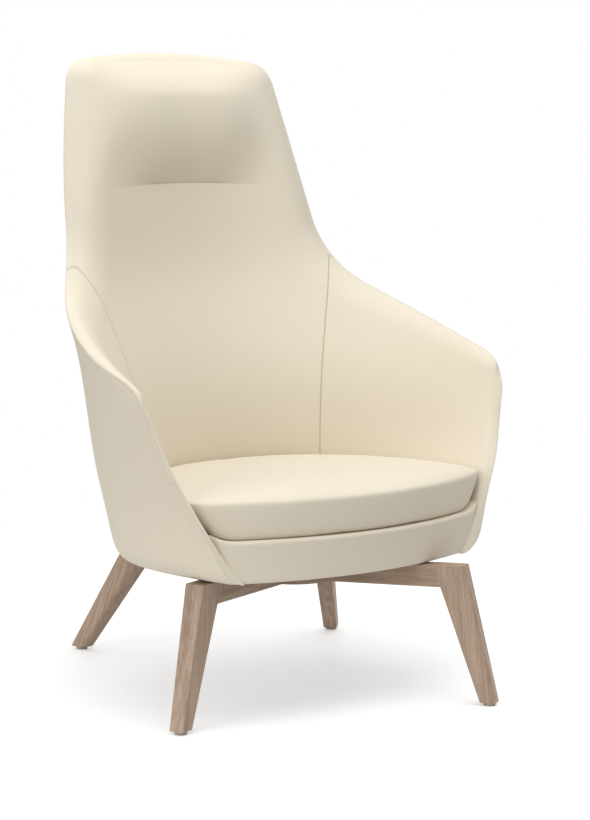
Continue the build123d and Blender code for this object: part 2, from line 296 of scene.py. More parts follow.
plywood = plain_finish("raw_plywood", (0.52, 0.37, 0.2, 1), (0.42, 0.28, 0.14, 1), 90.0, 0.6)
black_steel = plain_finish(
    "black_steel", (0.02, 0.02, 0.022, 1), (0.03, 0.03, 0.03, 1), 700.0, 0.45
)
zinc = plain_finish("zinc_steel", (0.5, 0.5, 0.52, 1), (0.6, 0.6, 0.6, 1), 500.0, 0.3, 1.0)
bearing = plain_finish("bearing_plastic", (0.03, 0.03, 0.03, 1), (0.04, 0.04, 0.04, 1), 600.0, 0.4)
glide_plastic = plain_finish(
    "glide_plastic", (0.3, 0.27, 0.23, 1), (0.36, 0.32, 0.27, 1), 600.0, 0.45
)
dust_cloth = plain_finish(
    "dust_cloth", (0.012, 0.012, 0.012, 1), (0.03, 0.03, 0.03, 1), 1200.0, 0.85
)

finish_of_slot = {
    "plywood": plywood,
    "dark_steel": black_steel,
    "bright_steel": zinc,
    "bearing_plastic": bearing,
    "glide_plastic": glide_plastic,
    "dust_cloth": dust_cloth,
}
for part in frame["record"]["subparts"]:
    if part["material_slot"] in finish_of_slot:
        dress(part["node"], finish_of_slot[part["material_slot"]])
print("plain finishes:", len(finish_of_slot))

# %% [markdown]
# ## The shape of the tub
#
# The tub is a bent shell with foam on both sides. Seen from above, each level is a row of arcs: one
# round the back, one round each side and a flat one along each arm. The sizes are given at twelve
# heights and run smoothly between them. A point on a skin is then found from two numbers: its
# height, and its run along the outline from the middle of the back.

# %% Two skins

MM = 0.001
tub_low = 260
arm_high = 569
axis_shift = np.array((0.0, -128.0, 0.0))
levels = np.array((tub_low, 272, 298, 337, 420, arm_high, 665, 762, 860, 950, 1075, 1200.0))


def through(heights, values):
    """A smooth curve through the values, as a function of height."""
    step = np.diff(heights)
    count = len(heights)
    system = np.eye(count)
    right = np.zeros(count)
    for i in range(1, count - 1):
        system[i, i - 1 : i + 2] = step[i - 1], 2 * (step[i - 1] + step[i]), step[i]
        slopes = np.diff(values[i - 1 : i + 2]) / step[i - 1 : i + 1]
        right[i] = 6 * (slopes[1] - slopes[0])
    bend = np.linalg.solve(system, right)

    def at(height):
        i = np.clip(np.searchsorted(heights, height, side="right") - 1, 0, count - 2)
        b = (height - heights[i]) / step[i]
        a = 1 - b
        cubic = (a**3 - a) * bend[i] + (b**3 - b) * bend[i + 1]
        return a * values[i] + b * values[i + 1] + cubic * step[i] ** 2 / 6

    return at


def skin(rear, half, side, turn, front):
    """Curves for a skin's sizes: rear point, half width, its place, rear turn, front bend."""
    table = (rear, half, side, np.radians(turn), 1 / np.array(front))
    return [through(levels, np.array(row, float)) for row in table]


outer_skin = skin(
    (327, 332.5, 333.5, 332, 340, 358, 366, 383, 398, 409, 422, 438),
    (304, 317.5, 333, 345, 374, 416, 431, 445, 444, 430, 413, 400),
    (30, 18, 11, 10, -10, -60, -45, 0, 48, 90, 142, 190),
    (45, 45, 45, 45, 45, 45, 44, 40, 32, 25, 20.5, 20),
    (640, 660, 715, 800, 1000, 2000, 2000, 2000, 2000, 2000, 2000, 2000),
)
inner_skin = skin(
    (276, 275, 272.6, 268, 256, 268, 298, 328, 342, 351, 373, 404),
    (264, 270.6, 284.8, 305, 343, 399, 412, 408, 396, 382, 369, 362),
    (-30, -34.6, -44.6, -60, -100, -170, -103, 0, 60, 90, 136, 190),
    (45, 45, 45, 45, 45, 45, 44, 40, 32, 25, 20.5, 20),
    (640, 712, 932, 1500, 3000, 2000, 2000, 2000, 2000, 2000, 2000, 2000),
)


def tub_point(curves, run, height, lift=0.0):
    """Points of a skin in millimetres about the swivel axis, moved outwards by lift."""
    run, height, lift = np.broadcast_arrays(run, height, lift)
    rear, half, side, turn, bend = (curve(height) for curve in curves)
    depth = rear - side
    share = 1 - np.sin(turn) - np.cos(turn)
    rear_r = (depth * (1 - np.sin(turn)) - half * np.cos(turn)) / share
    side_r = (half * (1 - np.cos(turn)) - depth * np.sin(turn)) / share
    first = rear_r * turn
    second = first + side_r * (np.pi / 2 - turn)
    along = np.abs(run)
    on_rear = np.pi / 2 - along / rear_r
    on_side = np.pi / 2 - turn - (along - first) / side_r
    on_front = -(along - second) * bend
    angle = np.where(along < first, on_rear, np.where(along < second, on_side, on_front))
    radius = np.where(along < first, rear_r, np.where(along < second, side_r, 1 / bend))
    centre_x = np.where(along < first, 0, half - radius)
    centre_y = np.where(along < first, rear - rear_r, side)
    x = centre_x + (radius + lift) * np.cos(angle)
    y = centre_y + (radius + lift) * np.sin(angle)
    return np.stack((np.sign(run) * np.abs(x), y, height), -1)


def run_where(curves, height, beyond):
    """The run on the right side at which beyond(x, y) becomes true."""
    low = np.zeros_like(height)
    high = np.full_like(height, 900.0)
    for _ in range(40):
        half_way = (low + high) / 2
        point = tub_point(curves, half_way, height)
        past = beyond(point[..., 0], point[..., 1])
        low = np.where(past, low, half_way)
        high = np.where(past, half_way, high)
    return (low + high) / 2


test = tub_point(outer_skin, np.array((0.0, 500.0)), np.full(2, float(arm_high)))
print("back and side at arm height, mm:", test.round(1).tolist())

# %% [markdown]
# ## The rim line
#
# The rim rises along the front of the arms, slopes back to the wings and runs up to the crown. It
# was cut as one curve in a view from the corner, so the line is drawn in that view and then laid on
# each skin. The inner skin stops a little short of it and the outer one runs a little past it down
# the arms, which leaves room for a rounded edge.

# %% Rim and seam on a skin

view_turn = math.radians(40)
rim_arm = [(355, 200), (355, 337), (374, 420), (391, 600)]
rim_wing = [(44, 775), (-74, 1166), (-205, 1186), (-500, 1186)]
rim_corners = rim_arm + rim_wing
rim_radii = [100, 100, 60, 225, 58, 960]
seam_turn = math.radians(40.1)
seam_at = (198, 178)
front_at = (-182, -109)
room_heights = (tub_low, 337, 430, 560, 640)
smooth_rounds = 6
arm_corner = 585
arm_corner_spread = 45
arm_corner_rounds = 90


def rounded(corners, radii, steps=14):
    """A line with its corners replaced by arcs."""
    points = [np.array(corners[0], float)]
    for before, corner, after, radius in zip(corners, corners[1:], corners[2:], radii):
        corner = np.array(corner, float)
        back = (np.array(before) - corner) / np.linalg.norm(np.array(before) - corner)
        on = (np.array(after) - corner) / np.linalg.norm(np.array(after) - corner)
        half_angle = math.acos(np.clip(back @ on, -1, 1)) / 2
        centre = corner + (back + on) / np.linalg.norm(back + on) * radius / math.sin(half_angle)
        begin = corner + back * radius / math.tan(half_angle) - centre
        end = corner + on * radius / math.tan(half_angle) - centre
        sweep = math.acos(np.clip(begin @ end / radius**2, -1, 1))
        for t in np.linspace(0, 1, steps):
            arm = (math.sin((1 - t) * sweep) * begin + math.sin(t * sweep) * end) / math.sin(sweep)
            points.append(centre + arm)
    points.append(np.array(corners[-1], float))
    return np.array(points)


def spread(line, places):
    """Points at the given shares of a line's length."""
    length = np.concatenate(([0], np.cumsum(np.linalg.norm(np.diff(line, axis=0), axis=1))))
    where = np.asarray(places) * length[-1]
    return np.stack([np.interp(where, length, line[:, i]) for i in range(line.shape[1])], -1)


rim_profile = spread(rounded(rim_corners, rim_radii), np.linspace(0, 1, 700))


def seam_run(curves, height):
    """The run of the seam between back and arm."""

    def beyond(x, y):
        return -math.sin(seam_turn) * (x - seam_at[0]) + math.cos(seam_turn) * (y - seam_at[1]) < 0

    return run_where(curves, np.asarray(height, float), beyond)


def rim_line(curves):
    """The rim on a skin, from the foot of the arm to the crown, as run and height."""
    across, height = rim_profile[rim_profile[:, 1] >= tub_low].T
    front = np.interp(height, (tub_low, arm_high), front_at)
    by_rim = run_where(
        curves, height, lambda x, y: x * math.cos(view_turn) - y * math.sin(view_turn) > across
    )
    by_front = run_where(curves, height, lambda x, y: y < front)
    run = np.minimum(by_rim, by_front)
    last = np.argmax(run < 1)
    line = np.stack((run, height), -1)[: last + 1]
    line[-1, 0] = 0
    line[0, 1] = tub_low
    return spread(line, np.linspace(0, 1, 600))


def set_back(line, room):
    """Move the rim line inwards by the room for the rounded edge, and round the arm's corner."""
    drop = np.interp(line[:, 1], room_heights, room)
    for _ in range(smooth_rounds):
        line[1:-1] = (line[:-2] + line[1:-1] * 2 + line[2:]) / 4
    at_corner = np.exp(-(((line[1:-1, 1] - arm_corner) / arm_corner_spread) ** 2))[:, None]
    for _ in range(arm_corner_rounds):
        line[1:-1] += at_corner * (line[:-2] + line[2:] - 2 * line[1:-1]) / 4
    way = np.gradient(line, axis=0)
    way /= np.linalg.norm(way, axis=1)[:, None]
    way[-1] = (-1, 0)
    way[0] = (0, 1)
    moved = line + np.stack((-way[:, 1], way[:, 0]), -1) * drop[:, None]
    moved[-1, 0] = 0
    return moved


outer_room = (-4, -7, -10, -8, 0.5)
inner_room = (6, 3, 3, 3, 3)
for name, curves in (("outer", outer_skin), ("inner", inner_skin)):
    line = rim_line(curves)
    print(name, "rim from", line[0].round(), "to", line[-1].round())

# %% [markdown]
# ## Rounded sides of the rim
#
# Along the top the rim has a crisp outer edge and a soft inner side, and down the front of the arms
# it is the other way round. The soft side is added to a skin, which bends like a quarter of an
# ellipse as it nears the rim. The distance from the rim is a mean over the whole line, because the
# nearest point alone would leave a fold at the corners.

# %% Rolls of both faces


def roll_maker(curves, heights, depths, widths):
    """A function for how far a skin moves near its rim."""
    rim = rim_line(curves)
    step = np.linalg.norm(np.gradient(rim, axis=0), axis=1)
    rim_depth = np.interp(rim[:, 1], heights, depths)
    rim_width = np.interp(rim[:, 1], heights, widths)

    def roll(run, height):
        lift = np.empty(run.shape)
        for row in range(len(run)):
            gap = np.stack((np.abs(run[row]), height[row]), -1)[:, None] - rim[None]
            weight = step / np.maximum(np.sum(gap**2, axis=-1), 4) ** 2
            total = weight.sum(axis=1)
            distance = (2 / math.pi * total) ** (-1 / 3)
            depth = weight @ rim_depth / total
            width = weight @ rim_width / total
            near = np.clip(1 - distance / width, 0, 1)
            lift[row] = depth * (1 - np.sqrt(1 - near**2))
        return lift

    return roll


roll_inside = roll_maker(
    inner_skin,
    (337, 430, 560, 640, 700, 775, 900, 1130, 1186),
    (0, 6, 9, 20, 28, 42, 32, 27, 22),
    (12, 14, 18, 34, 46, 76, 60, 45, 34),
)
roll_outside = roll_maker(
    outer_skin, room_heights, (8, 12, 15, 12, 0), (34, 38, 42, 36, 30)
)
at_crown = roll_inside(np.zeros((1, 1)), np.full((1, 1), 1180.0))
print("inner roll at the crown, mm:", at_crown.round(1).tolist())

# %% [markdown]
# ## Patches
#
# Back and arms are sewn from separate pieces of cloth, so each is its own patch. A patch is a grid
# stretched between four border lines. The grid lines crowd together at a seam, where the cloth dips
# into the stitching, and at the lower edge, where it rolls under.

# %% Grids between four borders

groove_width = 1.3
groove_depth = 0.9
lower_roll = 7.0
corner_share = 0.2
corner_rounds = 80


def crowded(length, count, near_start, near_end=()):
    """Shares along a border: even, with extra lines at the given distances from its ends."""
    extra = [d / length for d in near_start] + [1 - d / length for d in near_end]
    low = max([0] + [d / length for d in near_start])
    high = 1 - max([0] + [d / length for d in near_end])
    even = np.linspace(low, high, count)
    return np.unique(np.round(np.concatenate((extra, even)), 6))


def fill(bottom, top, left, right, across, up):
    """A grid between four borders, each given at the shares across and up."""
    u = across[None, :, None]
    v = up[:, None, None]
    rows = (1 - v) * bottom[None] + v * top[None]
    columns = (1 - u) * left[:, None] + u * right[:, None]
    ends = (1 - u) * (1 - v) * bottom[0] + u * (1 - v) * bottom[-1]
    ends = ends + (1 - u) * v * top[0] + u * v * top[-1]
    return rows + columns - ends


def relaxed(grid, across, up):
    """Even out the cells next to the corner of an arm, where two borders run on in one line."""
    beside = (1 - across[None, 1:-1]) / corner_share
    below = (1 - up[1:-1, None]) / corner_share
    near = np.exp(-(beside**2) - below**2)
    for _ in range(corner_rounds):
        mean = (grid[:-2, 1:-1] + grid[2:, 1:-1] + grid[1:-1, :-2] + grid[1:-1, 2:]) / 4
        grid[1:-1, 1:-1] += near[..., None] * (mean - grid[1:-1, 1:-1])
    return grid


def seam_dip(distance):
    """How deep the cloth sinks at a distance from the seam."""
    return groove_depth * np.exp(-((distance / groove_width) ** 2))


def roll_under(height):
    """How far the lower edge is drawn in."""
    rise = np.clip(height - tub_low, 0, lower_roll)
    return lower_roll - np.sqrt(lower_roll**2 - (lower_roll - rise) ** 2)


def landmarks(line, curves):
    """Places on the rim line: arm corner, end of the seam and top corner."""
    height = line[:, 1]
    seam_end = np.argmax((line[:, 0] <= seam_run(curves, height)) & (height > 600))
    return np.argmax(height > 592), seam_end, np.argmax(height > 1154)


for name, curves in (("outer", outer_skin), ("inner", inner_skin)):
    line = set_back(rim_line(curves), outer_room)
    places = landmarks(line, curves)
    print(name, "arm corner, seam end, top corner:", [line[i].round().tolist() for i in places])

# %% Arm and back grids

seam_lines = (0, 0.4, 0.8, 1.3, 2.0, 3.0, 5.0, 8.0, 12.0)
edge_lines = (0, 0.6, 1.6, 3.2, 5.2, 8.0)
rim_lines = (0, 1.5, 3.2, 5.5, 8.5, 12.0)
rim_rows = 64
half_gap = 0.15


def arm_grid(curves, outside):
    """Run and height of the right arm's grid, and the depth of its dips."""
    line = set_back(rim_line(curves), outer_room if outside else inner_room)
    corner, seam_end, _ = landmarks(line, curves)
    across = crowded(380, 64, seam_lines, rim_lines)
    up = crowded(420, 70, edge_lines, rim_lines)
    seam_height = np.linspace(tub_low, line[seam_end, 1], 200)
    seam = np.stack((seam_run(curves, seam_height), seam_height), -1)
    bottom = np.array((seam[0], (line[0, 0], tub_low)))
    grid = fill(
        spread(bottom, across),
        spread(line[corner : seam_end + 1][::-1], across),
        spread(seam, up),
        spread(line[: corner + 1], up),
        across,
        up,
    )
    grid = relaxed(grid, across, up)
    height = np.maximum(grid[..., 1], tub_low)
    gap = grid[..., 0] - seam_run(curves, np.minimum(height, line[seam_end, 1]))
    dip = seam_dip(np.maximum(gap, 0))
    roll = roll_under(height) if outside else 0 * height
    return grid[..., 0] + half_gap, height, dip, roll


def back_grid(curves, outside):
    """The same for the whole back, from the left edge to the right one."""
    line = set_back(rim_line(curves), outer_room if outside else inner_room)
    _, seam_end, top = landmarks(line, curves)
    seam_height = np.linspace(tub_low, line[seam_end, 1], 200)
    seam = np.stack((seam_run(curves, seam_height), seam_height), -1)
    seam_up = crowded(500, 74, edge_lines)
    rim_up = np.linspace(0, 1, rim_rows)
    right = np.concatenate((spread(seam, seam_up), spread(line[seam_end : top + 1], rim_up)[1:]))
    up = np.concatenate(([0], np.cumsum(np.linalg.norm(np.diff(right, axis=0), axis=1))))
    up /= up[-1]
    left = right * (-1, 1)
    across = crowded(700, 104, seam_lines, seam_lines)
    crown = np.concatenate((line[top:] * (-1, 1), line[top:][::-1][1:]))
    bottom = np.array((left[0], right[0]))
    grid = fill(spread(bottom, across), spread(crown, across), left, right, across, up)
    height = np.maximum(grid[..., 1], tub_low)
    end_run, end_height = line[seam_end]
    beside = seam_run(curves, np.minimum(height, end_height)) - np.abs(grid[..., 0])
    above = np.hypot(np.abs(grid[..., 0]) - end_run, height - end_height)
    dip = seam_dip(np.where(height <= end_height, np.maximum(beside, 0), above))
    roll = roll_under(height) if outside else 0 * height
    return grid[..., 0] - half_gap * np.sign(grid[..., 0]), height, dip, roll


for name, maker in (("arm", arm_grid), ("back", back_grid)):
    run, height, dip, roll = maker(outer_skin, True)
    print(name, "grid", run.shape, "heights", height.min().round(), height.max().round())

# %% [markdown]
# ## Closing a pad
#
# Outer and inner grid have the same number of lines, so their borders can be joined point by point.
# Along the rim the join bulges into a rounded edge. Along a seam and underneath it stays flat.

# %% Pads from two grids

cap_steps = 12
outer_handle = 6


def border(rows, columns):
    """Row and column of each point round a grid."""
    around = [(0, c) for c in range(columns - 1)] + [(r, columns - 1) for r in range(rows - 1)]
    around += [(rows - 1, c) for c in range(columns - 1, 0, -1)]
    around += [(r, 0) for r in range(rows - 1, 0, -1)]
    return np.array(around)


def grid_faces(rows, columns, first):
    corner = np.arange(rows * columns).reshape(rows, columns) + first
    quads = (corner[:-1, :-1], corner[:-1, 1:], corner[1:, 1:], corner[1:, :-1])
    return np.stack(quads, -1).reshape(-1, 4)


def mesh_piece(name, points, faces, crease, material):
    """A smooth mesh object in the chair's frame, from millimetres about the swivel axis."""
    data = bpy.data.meshes.new(name)
    data.from_pydata(((points + axis_shift) * MM).tolist(), [], faces)
    work = bmesh.new()
    work.from_mesh(data)
    bmesh.ops.recalc_face_normals(work, faces=work.faces)
    work.to_mesh(data)
    work.free()
    # the crease attribute holds painted shade for seams and creases, which darkens the wool's
    # colour
    shade = data.attributes.new("crease", "FLOAT", "POINT")
    shade.data.foreach_set("value", crease.astype(np.float32))
    data.shade_smooth()
    data.materials.append(material)
    piece = bpy.data.objects.new(name, data)
    bpy.context.scene.collection.objects.link(piece)
    return piece


def rim_way(curves, lift, run, height):
    """Direction in which a skin runs out over the border of its grid."""
    around = border(*run.shape)
    edge = np.stack((run, height), -1)[around[:, 0], around[:, 1]]
    along = np.roll(edge, -1, axis=0) - np.roll(edge, 1, axis=0)
    along /= np.linalg.norm(along, axis=1)[:, None]
    inside = edge - np.stack((along[:, 1], -along[:, 0]), -1)
    ends = []
    for place in (inside, edge):
        moved = lift(place[None, :, 0], place[None, :, 1])[0]
        ends.append(tub_point(curves, place[:, 0], place[:, 1], moved))
    way = ends[1] - ends[0]
    return way / np.linalg.norm(way, axis=1)[:, None]


def pad_mesh(name, outer, inner, crease, material, is_rim=None, ways=None):
    """Close two grids into one pad, with a rounded edge where is_rim(row, column) holds."""
    rows, columns = outer.shape[:2]
    around = border(rows, columns)
    out_edge = outer[around[:, 0], around[:, 1]]
    in_edge = inner[around[:, 0], around[:, 1]]
    thick = np.linalg.norm(in_edge - out_edge, axis=1)[:, None]
    from_out = (in_edge - out_edge) / 3
    from_in = -from_out
    if is_rim:
        round_edge = is_rim(around[:, 0], around[:, 1])[:, None]
        from_out = np.where(round_edge, ways[0] * np.minimum(outer_handle, thick / 2), from_out)
        from_in = np.where(round_edge, ways[1] * thick / 3, from_in)
    points = [outer.reshape(-1, 3), inner.reshape(-1, 3)]
    shade = [crease.ravel(), crease.ravel()]
    edge_shade = crease[around[:, 0], around[:, 1]]
    first = rows * columns * 2
    rings = [around[:, 0] * columns + around[:, 1]]
    for j in range(1, cap_steps):
        t = 0.5 - 0.5 * math.cos(math.pi * j / cap_steps)
        start = (1 - t) ** 3 * out_edge + 3 * (1 - t) ** 2 * t * (out_edge + from_out)
        end = t**3 * in_edge + 3 * (1 - t) * t**2 * (in_edge + from_in)
        points.append(start + end)
        shade.append(edge_shade)
        rings.append(first + (j - 1) * len(around) + np.arange(len(around)))
    rings.append(rings[0] + rows * columns)
    faces = [grid_faces(rows, columns, 0), grid_faces(rows, columns, rows * columns)]
    for low, high in zip(rings, rings[1:]):
        faces.append(np.stack((low, np.roll(low, -1), np.roll(high, -1), high), -1))
    every_face = np.concatenate(faces).tolist()
    return mesh_piece(name, np.concatenate(points), every_face, np.concatenate(shade), material)


print("cap steps:", cap_steps)

# %% [markdown]
# ## Arms
#
# The left arm is the mirror image of the right one, so one grid serves both.

# %% Two arm pads


def arm_pads():
    run, height, dip, roll = arm_grid(outer_skin, True)
    outer = tub_point(outer_skin, run, height, -dip - roll - roll_outside(run, height))
    ways = [rim_way(outer_skin, lambda *place: -roll_outside(*place), run, height)]
    run, height, in_dip, _ = arm_grid(inner_skin, False)
    inner = tub_point(inner_skin, run, height, in_dip + roll_inside(run, height))
    ways.append(rim_way(inner_skin, roll_inside, run, height))
    rows, columns = outer.shape[:2]
    made = {}
    for side, mirror in (("right", 1), ("left", -1)):
        flip = np.array((mirror, 1, 1))
        made[side] = pad_mesh(
            "arm_cover_" + side,
            outer * flip,
            inner * flip,
            dip / groove_depth,
            wool,
            lambda row, column: (row == rows - 1) | (column == columns - 1) & (row > 0),
            [way * flip for way in ways],
        )
    return made


arm_covers = arm_pads()
for side, piece in arm_covers.items():
    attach(piece, "seat")
    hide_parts("arm_pad_" + side)
    print(piece.name, len(piece.data.polygons), "faces")

# %% [markdown]
# ## Back
#
# The back runs from the lower edge to the crown. Its inner face has a shallow hollow behind the
# headrest, so that the soft roll sits in it and not in the foam.

# %% Back pad and its hollow

head_low = 938.0
head_crest = 1100.0
head_out = 44.0
head_droop = 16.0
head_rim = set_back(rim_line(inner_skin), (9, 9, 9, 9, 9))
head_high = head_rim[-1, 1]


def smooth_step(value, low, high):
    share = np.clip((value - low) / (high - low), 0, 1)
    return share**2 * (3 - 2 * share)


def head_half(height):
    """Half the width of the headrest, a little less than that of the back."""
    upper = head_rim[head_rim[:, 1] > 800]
    return np.interp(height, upper[:, 1], upper[:, 0])


def head_swell(run, height):
    """How far the headrest stands out of the back: a crease below, and a round top and ends."""
    aside = np.minimum(np.abs(run) / np.maximum(head_half(height), 1), 1)
    low = head_low - head_droop * aside**2
    rising = np.clip((height - low) / (head_crest - low), 0, 1)
    falling = np.clip((height - head_crest) / (head_high - head_crest), 0, 1)
    in_middle = 1 - smooth_step(aside, 0.25, 0.85)
    steep = 1 - (1 - rising) ** 2
    gentle = np.sin(math.pi / 2 * rising) ** 2
    under = in_middle * steep + (1 - in_middle) * gentle
    over = (1 - falling**2.2) ** 1.7
    return head_out * under * over * (1 - aside**4) ** 2


def back_piece():
    run, height, dip, roll = back_grid(outer_skin, True)
    outer = tub_point(outer_skin, run, height, -dip - roll)
    ways = [rim_way(outer_skin, lambda *place: -roll_outside(*place), run, height)]
    run, height, in_dip, _ = back_grid(inner_skin, False)
    hollow = 7 * smooth_step(head_swell(run, height), 1.5, 7)
    inner = tub_point(inner_skin, run, height, in_dip + hollow + roll_inside(run, height))
    ways.append(rim_way(inner_skin, roll_inside, run, height))
    seam_rows = len(outer) - rim_rows
    shade = dip / groove_depth
    return pad_mesh("back_cover", outer, inner, shade, wool, lambda row, _: row >= seam_rows, ways)


back_cover = back_piece()
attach(back_cover, "seat")
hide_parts("back_pad")
print(back_cover.name, len(back_cover.data.polygons), "faces")

# %% [markdown]
# ## Headrest
#
# The headrest is a soft roll that grows out of the upper back: it leaves the back without a step at
# the sides and the top, and ends below in a crease with a steep underside.

# %% Headrest roll


def headrest():
    across = np.linspace(-1, 1, 97)
    parts = ((0, 0.14, 20), (0.14, 0.9, 50), (0.9, 1, 14))
    up = np.unique(np.concatenate([np.linspace(*part) for part in parts]))
    lowest = head_low - head_droop
    across, height = np.meshgrid(across, lowest + up * (head_high - lowest))
    run = across * head_half(height)
    swell = head_swell(run, height)
    roll = roll_inside(run, height)
    front = tub_point(inner_skin, run, height, roll - swell + 0.05)
    rear = tub_point(inner_skin, run, height, roll + 0.5 + 4 * smooth_step(swell, 1.5, 7))
    middle_part = 1 - smooth_step(np.abs(run), 60, 115)
    # painted shade along the middle of the headrest's crease
    crease = np.exp(-(((height - head_low) / 1.6) ** 2)) * middle_part
    return pad_mesh("headrest_cover", front, rear, crease, wool)


headrest_cover = headrest()
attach(headrest_cover, "seat")
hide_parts("headrest_pad")
print(headrest_cover.name, len(headrest_cover.data.polygons), "faces")

# %% [markdown]
# ## Front panel
#
# A padded board closes the tub between the arms. It is bowed forwards, leans out towards the
# cushion and has a rounded upper edge, with a seam at each end where it meets an arm.

# %% Front panel pad

panel_high = 76
panel_half = (264, 303)
panel_front = (-223, -242)
panel_end = (-178, -167.5)
panel_rear = -141.0
panel_sink = 2.5
let_in = 6


def corner_rise(x):
    """How far the line between panel and cushion rises towards the arms."""
    return 13 * np.clip((np.abs(x) - 258) / 46, 0, 1) ** 2.2


def front_panel():
    rows = crowded(panel_high, 24, edge_lines, edge_lines)
    columns = crowded(600, 90, seam_lines, seam_lines)
    across, up = np.meshgrid(columns * 2 - 1, rows)
    half, front, end = (
        low + (high - low) * up for low, high in (panel_half, panel_front, panel_end)
    )
    sag = end - front
    radius = (half**2 + sag**2) / (2 * sag)
    x = across * (half + let_in)
    y = front + radius - np.sqrt(radius**2 - x**2)
    rise = corner_rise(x)
    sink = panel_sink * (1 - across**2)
    z = tub_low - sink + (panel_high + rise + sink) * up
    low = roll_under(tub_low + panel_high * up)
    top = roll_under(tub_low + panel_high * (1 - up))
    dip = seam_dip(np.maximum(half - 1 - np.abs(x), 0))
    outer = np.stack((x, y + low + top, z), -1)
    inner = np.stack((x, np.full_like(x, panel_rear), z), -1)
    return pad_mesh("front_panel_cover", outer, inner, dip / groove_depth, wool)


panel_cover = front_panel()
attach(panel_cover, "seat")
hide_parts("front_panel")
print(panel_cover.name, len(panel_cover.data.polygons), "faces")

# %% [markdown]
# ## Seat cushion
#
# The cushion is loose, filled with foam and crowned. Seen from above it fills the tub and ends in a
# bowed front. Its cover is drawn as rings around the middle, with a tight upper edge. A cloth
# simulation then blows it up a little, with a limit on how far it may move.

# %% Rings of the cushion

cushion_middle = np.array((0.0, 20.0))
front_centre = np.array((0.0, 358.0))
front_radius = 605.0
cushion_top = 420.0
cushion_lean = 9.0
cushion_low = 337.5
edge_height = 404.0
lean_height = 66
clearance = 0.6
corner_power = 60
inset_rings = [(42, cushion_low), (24, cushion_low), (13, 338), (7, 339.5), (3.5, 343)]
inset_rings += [(1.5, 350), (0.5, 360), (0, 372), (0, 383), (0.2, 391), (0.6, 397)]
inset_rings += [(1.3, 400.5), (2.4, 403), (4, 404.8), (6.5, 406.2), (10, 407.4)]
inset_rings += [(16, 408.8), (26, 410.4), (40, 412)]


def cushion_reach(angle, height):
    """Distance from the cushion's middle to its side, for each direction from the front."""
    run = np.linspace(-720, 720, 1441)
    line = tub_point(inner_skin, run, np.full_like(run, height))[:, :2] - cushion_middle
    line_angle = np.arctan2(line[:, 0], -line[:, 1])
    order = np.argsort(line_angle)
    to_tub = np.interp(angle, line_angle[order], np.hypot(*line.T)[order]) - clearance
    ahead = (front_centre - cushion_middle)[1] * np.cos(angle)
    beyond = front_radius**2 - ((front_centre - cushion_middle) ** 2).sum()
    lean = cushion_lean * (edge_height - height) / lean_height
    to_front = np.sqrt(ahead**2 + beyond) - ahead - lean
    return (to_tub**-corner_power + to_front**-corner_power) ** (-1 / corner_power)


def cushion_rings(count):
    """Rings of points from the middle of the underside to the middle of the top."""
    angle = np.linspace(-np.pi, np.pi, count, endpoint=False)
    way = np.stack((np.sin(angle), -np.cos(angle)), -1)
    rings = []
    for inset, height in inset_rings:
        reach = cushion_reach(angle, min(height, edge_height)) - inset
        ring = cushion_middle + way * reach[:, None]
        lift = corner_rise(ring[:, 0]) * smooth_step(-ring[:, 1], 60, 140)
        lift *= max(0, 1 - (height - cushion_low) / 60)
        rings.append(np.column_stack((ring, height + lift)))
    inner = inset_rings[-1]
    for share in (0.9, 0.78, 0.64, 0.48, 0.32, 0.16, 0.02):
        reach = (cushion_reach(angle, edge_height) - inner[0]) * share
        height = cushion_top - (cushion_top - inner[1]) * share**2
        ring = cushion_middle + way * reach[:, None]
        rings.append(np.column_stack((ring, np.full(count, height))))
    below = rings[0].copy()
    for share in (0.75, 0.5, 0.25, 0.02):
        ring = below.copy()
        ring[:, :2] = cushion_middle + (below[:, :2] - cushion_middle) * share
        rings.insert(0, ring)
    return np.array(rings)


def ring_faces(rings, count):
    """Squares between neighbouring rings, and one polygon at either end."""
    place = np.arange(rings * count).reshape(rings, count)
    on = np.roll(place, -1, axis=1)
    squares = np.stack((place[:-1], on[:-1], on[1:], place[1:]), -1).reshape(-1, 4)
    return squares.tolist() + [place[0].tolist(), place[-1].tolist()]


rings = cushion_rings(260)
wide, deep = (np.ptp(rings[..., i]).round(1) for i in (0, 1))
print("cushion rings:", len(rings), "width", wide, "depth", deep)

# %% Seat cushion by simulation


def places_of(data):
    flat = np.empty(len(data.vertices) * 3)
    data.vertices.foreach_get("co", flat)
    return flat.reshape(-1, 3)


def blown_up(piece, pressure, limit):
    """How far cloth moves each point of a closed mesh under pressure, up to the limit."""
    start = places_of(piece.data)
    cloth = piece.modifiers.new("cloth", "CLOTH")
    cloth.settings.use_pressure = True
    cloth.settings.uniform_pressure_force = pressure
    cloth.settings.effector_weights.gravity = 0
    cloth.settings.tension_stiffness = 40
    cloth.settings.compression_stiffness = 40
    cloth.settings.bending_stiffness = 5
    scene = bpy.context.scene
    for number in range(1, 21):
        scene.frame_set(number)
    shown = piece.evaluated_get(bpy.context.evaluated_depsgraph_get())
    move = places_of(shown.data) - start
    piece.modifiers.remove(cloth)
    scene.frame_set(1)
    size = np.linalg.norm(move, axis=1)[:, None]
    return move * np.minimum(1, limit / np.maximum(size, 1e-9))


faces = ring_faces(*rings.shape[:2])
plain = np.zeros(rings[..., 0].size)
cushion = mesh_piece("seat_cushion_cover", rings.reshape(-1, 3), faces, plain, wool)
move = blown_up(cushion, 3.0, 0.003).reshape(rings.shape)
for _ in range(smooth_rounds):
    move = (np.roll(move, 1, axis=1) + 2 * move + np.roll(move, -1, axis=1)) / 4
    move[1:-1] = (move[:-2] + 2 * move[1:-1] + move[2:]) / 4
moved = places_of(cushion.data) + move.reshape(-1, 3)
cushion.data.vertices.foreach_set("co", moved.ravel())
cushion.data.update()
print("cushion moved by up to", np.linalg.norm(move, axis=-1).max().round(5), "m")
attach(cushion, "seat")
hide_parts("seat_cushion")
print(cushion.name, len(cushion.data.polygons), "faces")

